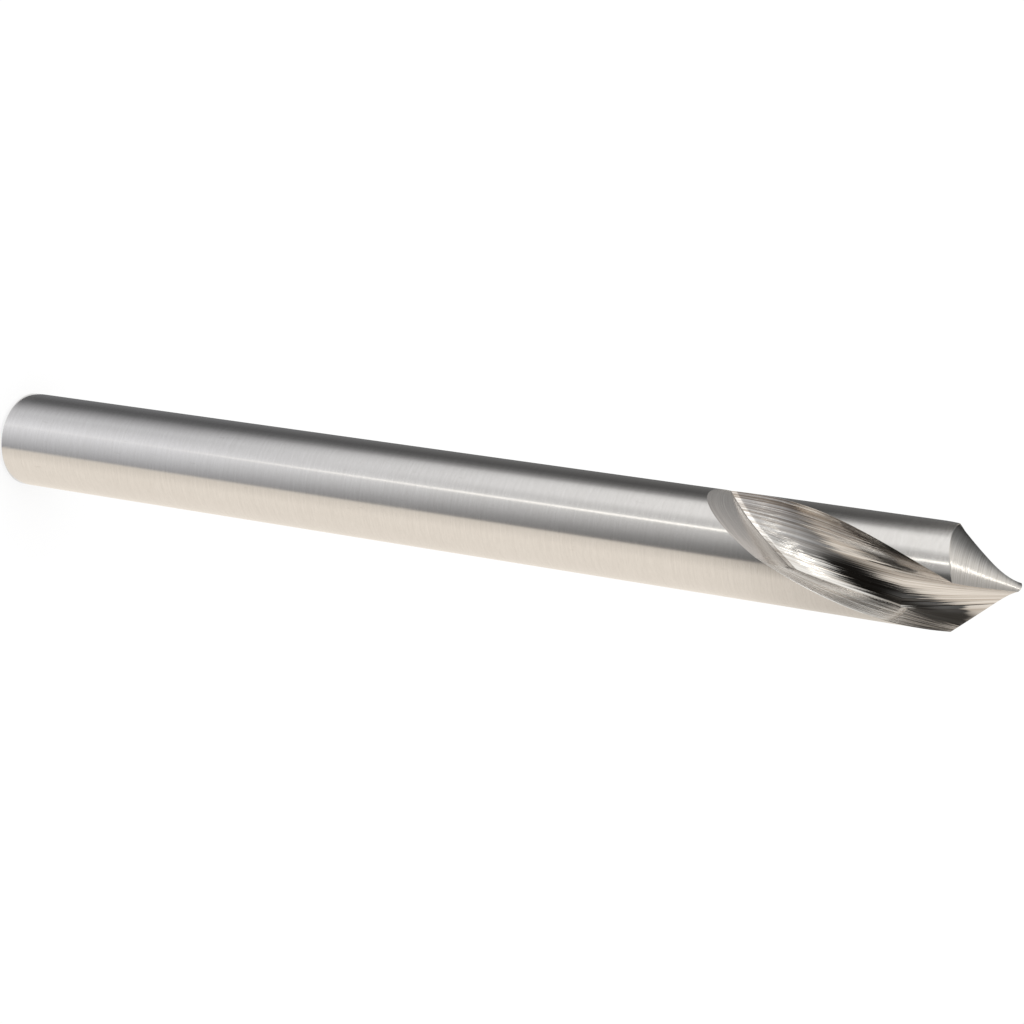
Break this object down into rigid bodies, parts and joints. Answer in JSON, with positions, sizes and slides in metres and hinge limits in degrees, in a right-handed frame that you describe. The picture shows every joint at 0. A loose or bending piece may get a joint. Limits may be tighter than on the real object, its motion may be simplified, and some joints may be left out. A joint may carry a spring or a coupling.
{
  "type": "spotting drill",
  "caption": "Long one-piece steel spotting drill: plain round shank, short helical flutes with stop walls, and a relief-ground pointed tip.",
  "frame": {"origin": "centre of the shank's flat end face, on which the drill stands", "axes": "+Z along the drill's axis from the shank end towards the point; +X runs across the point so that, straight below the outer corner of one cutting lip, the lip lies along +X; +Y completes the right-handed frame"},
  "size_m": [0.0158, 0.0158, 0.1778],
  "materials": {
    "ground_steel": "bright ground finish: fine rings around the body, long streaks in the flutes, fine arcs on the flanks"
  },
  "bodies": {
    "root": {"spotting_drill": "ground_steel"}
  },
  "joints": []
}
